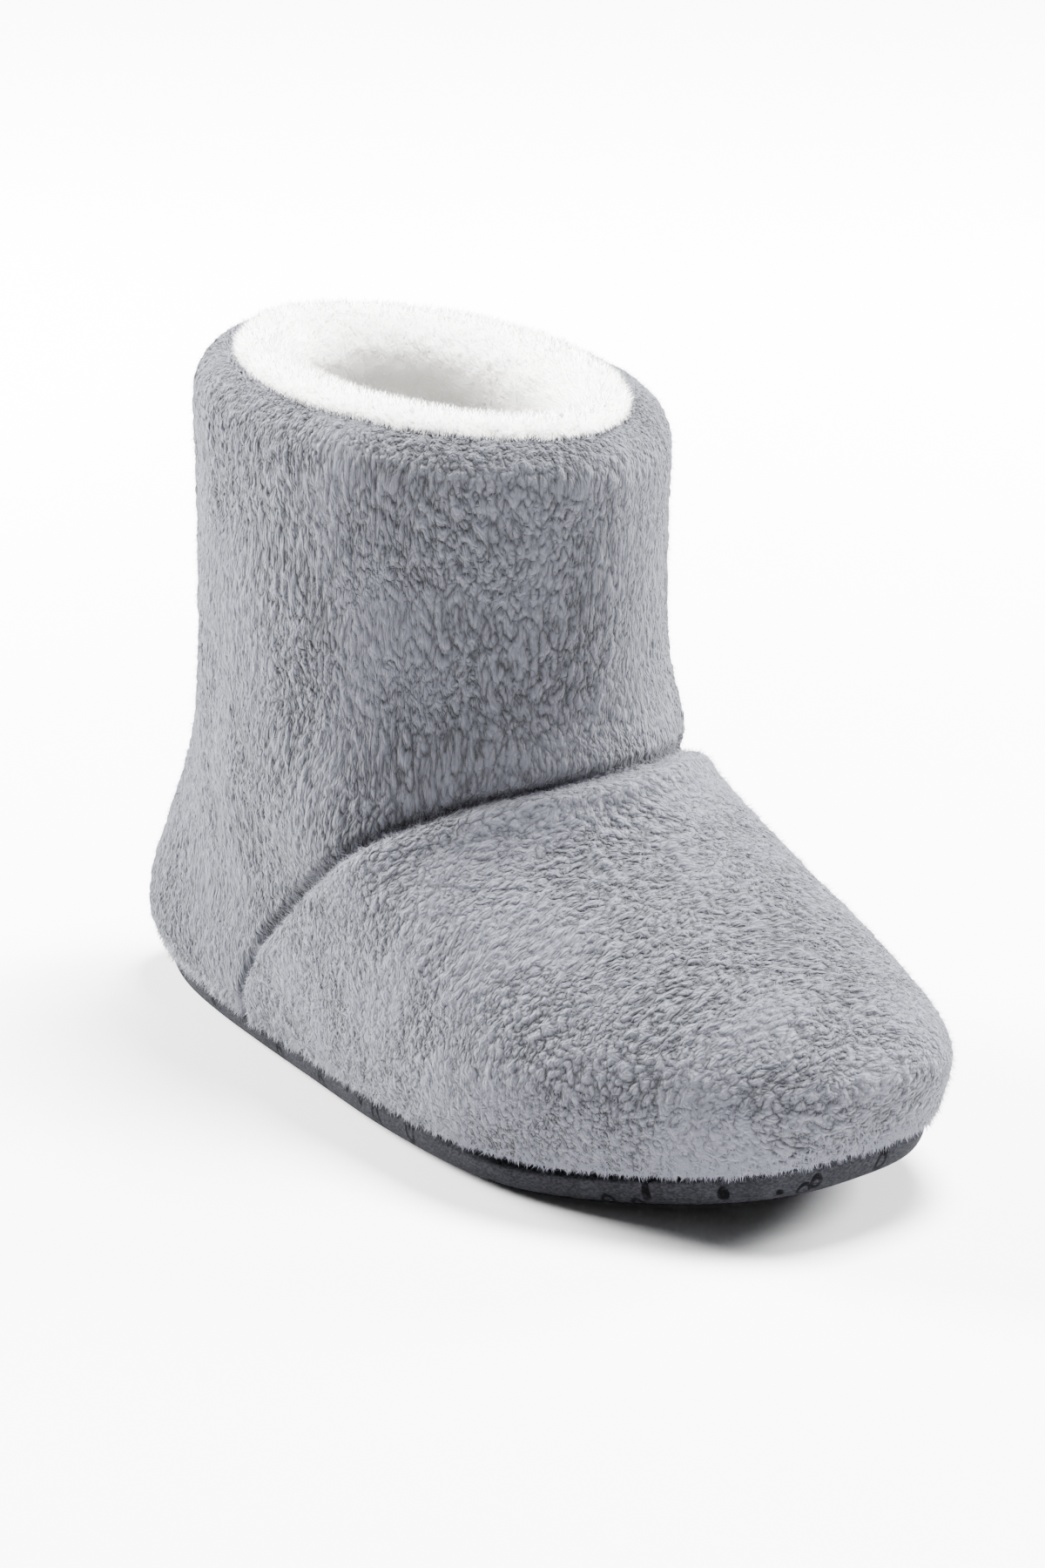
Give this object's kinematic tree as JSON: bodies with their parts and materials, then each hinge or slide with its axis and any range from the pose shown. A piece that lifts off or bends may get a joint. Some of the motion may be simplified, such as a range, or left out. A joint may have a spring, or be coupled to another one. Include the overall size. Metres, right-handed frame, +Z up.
{
  "type": "bootie slipper",
  "caption": "Ankle-high bootie slipper in grey plush with a puffy vamp, a thick white pile lining that shows as a rim, and a soft cloth-covered sole.",
  "frame": {"origin": "on the floor under the middle of the shoe", "axes": "+X from heel to toe, +Y to the inner side of the right foot, +Z up"},
  "size_m": [0.2754, 0.128, 0.1856],
  "materials": {
    "sole_cloth": "dark grey brushed cloth over a soft sole",
    "plush": "light cool grey short pile plush with fine worm-like tufts",
    "pile": "warm white thick fleece pile",
    "footbed": "warm white fleece over a thin padded board"
  },
  "bodies": {
    "root": {"outsole": "sole_cloth", "upper": "plush", "lining": "pile", "insole": "footbed"}
  },
  "joints": []
}
